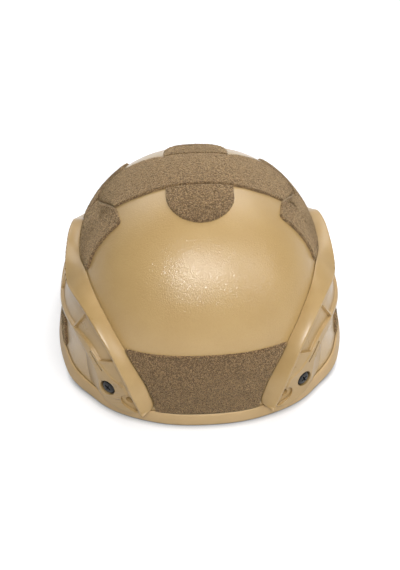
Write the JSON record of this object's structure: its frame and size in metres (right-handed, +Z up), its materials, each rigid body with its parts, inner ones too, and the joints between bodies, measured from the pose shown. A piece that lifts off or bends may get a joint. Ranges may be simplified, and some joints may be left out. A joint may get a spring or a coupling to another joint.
{
  "type": "combat helmet",
  "caption": "High-cut ballistic helmet with rubber edge trim, loop panels, side accessory rails, pad liner, dial fit band and buckled chin harness.",
  "frame": {"origin": "on the ground under the middle of the helmet's bounding box", "axes": "+Z up to the crown, -Y to the front, +X to the wearer's left; the helmet stands on its front and rear rim"},
  "size_m": [0.269, 0.2808, 0.1726],
  "materials": {
    "shell_coat": "sand-textured matte coat",
    "trim_rubber": "matte",
    "loop_pile": "napped pile",
    "rail_polymer": "moulded satin",
    "screw_coat": "black coat",
    "nut_steel": "plated",
    "pad_fabric": "brushed knit",
    "hook_nylon": "matte",
    "band_polymer": "moulded matte",
    "webbing": "woven",
    "buckle_polymer": "moulded satin",
    "cup_leather": "matte"
  },
  "bodies": {
    "helmet": {"shell": "shell_coat", "edge_trim": "trim_rubber", "front_loop_panel": "loop_pile", "crown_band_panel": "loop_pile", "crown_front_tongue_panel": "loop_pile", "crown_rear_tongue_panel": "loop_pile", "left_side_loop_panel": "loop_pile", "right_side_loop_panel": "loop_pile", "left_rear_side_loop_panel": "loop_pile", "right_rear_side_loop_panel": "loop_pile", "left_ear_loop_panel": "loop_pile", "right_ear_loop_panel": "loop_pile", "rear_loop_panel": "loop_pile", "left_rail": "rail_polymer", "right_rail": "rail_polymer", "left_front_rail_screw": "screw_coat", "right_front_rail_screw": "screw_coat", "left_rear_rail_screw": "screw_coat", "right_rear_rail_screw": "screw_coat", "left_rail_nuts": "nut_steel", "right_rail_nuts": "nut_steel", "crown_pad": "pad_fabric", "front_pad": "pad_fabric", "rear_pad": "pad_fabric", "left_front_side_pad": "pad_fabric", "right_front_side_pad": "pad_fabric", "left_rear_side_pad": "pad_fabric", "right_rear_side_pad": "pad_fabric", "pad_hook_discs": "hook_nylon", "dial_housing": "band_polymer", "dial_hanger": "band_polymer", "left_arm_guide": "band_polymer", "right_arm_guide": "band_polymer", "nape_pad": "pad_fabric", "left_front_strap": "webbing", "right_front_strap": "webbing", "left_rear_strap": "webbing", "right_rear_strap": "webbing", "left_junction": "band_polymer", "right_junction": "band_polymer"},
    "dial": {"dial_knob": "band_polymer"},
    "left_arm": {"left_arm": "band_polymer"},
    "right_arm": {"right_arm": "band_polymer"},
    "left_chin": {"left_chin_strap": "webbing", "buckle_socket": "buckle_polymer"},
    "right_chin": {"right_chin_strap": "webbing", "chin_cup": "cup_leather"},
    "plug": {"buckle_plug": "buckle_polymer"}
  },
  "joints": [
    {"name": "dial_turn", "type": "hinge", "parent": "helmet", "child": "dial", "pos_m": [0, 0.10062, 0.03053], "axis": [0, -0.988, 0.1547], "range_deg": [0, 240]},
    {"name": "left_arm_slide", "type": "hinge", "parent": "helmet", "child": "left_arm", "pos_m": [0, 0.00182, 0.046], "axis": [0, 0.1547, 0.988], "range_deg": [0, 12]},
    {"name": "right_arm_slide", "type": "hinge", "parent": "helmet", "child": "right_arm", "pos_m": [0, 0.00182, 0.046], "axis": [0, 0.1547, 0.988], "range_deg": [-12, 0]},
    {"name": "chin_strap_swing", "type": "hinge", "parent": "helmet", "child": "right_chin", "pos_m": [0, -0.01451, 0.02715], "axis": [1, 0, 0], "range_deg": [0, 65]},
    {"name": "left_strap_swing", "type": "hinge", "parent": "helmet", "child": "left_chin", "pos_m": [0, -0.01451, 0.02715], "axis": [1, 0, 0], "range_deg": [0, 65]},
    {"name": "buckle_release", "type": "slide", "parent": "right_chin", "child": "plug", "axis": [-0.6468, -0.7585, -0.0802], "range_m": [0, 0.018]}
  ],
  "couplings": [
    {"joint": "left_arm_slide", "follows": "dial_turn", "ratio": 0.05},
    {"joint": "right_arm_slide", "follows": "dial_turn", "ratio": -0.05},
    {"joint": "left_strap_swing", "follows": "chin_strap_swing", "ratio": 1}
  ]
}
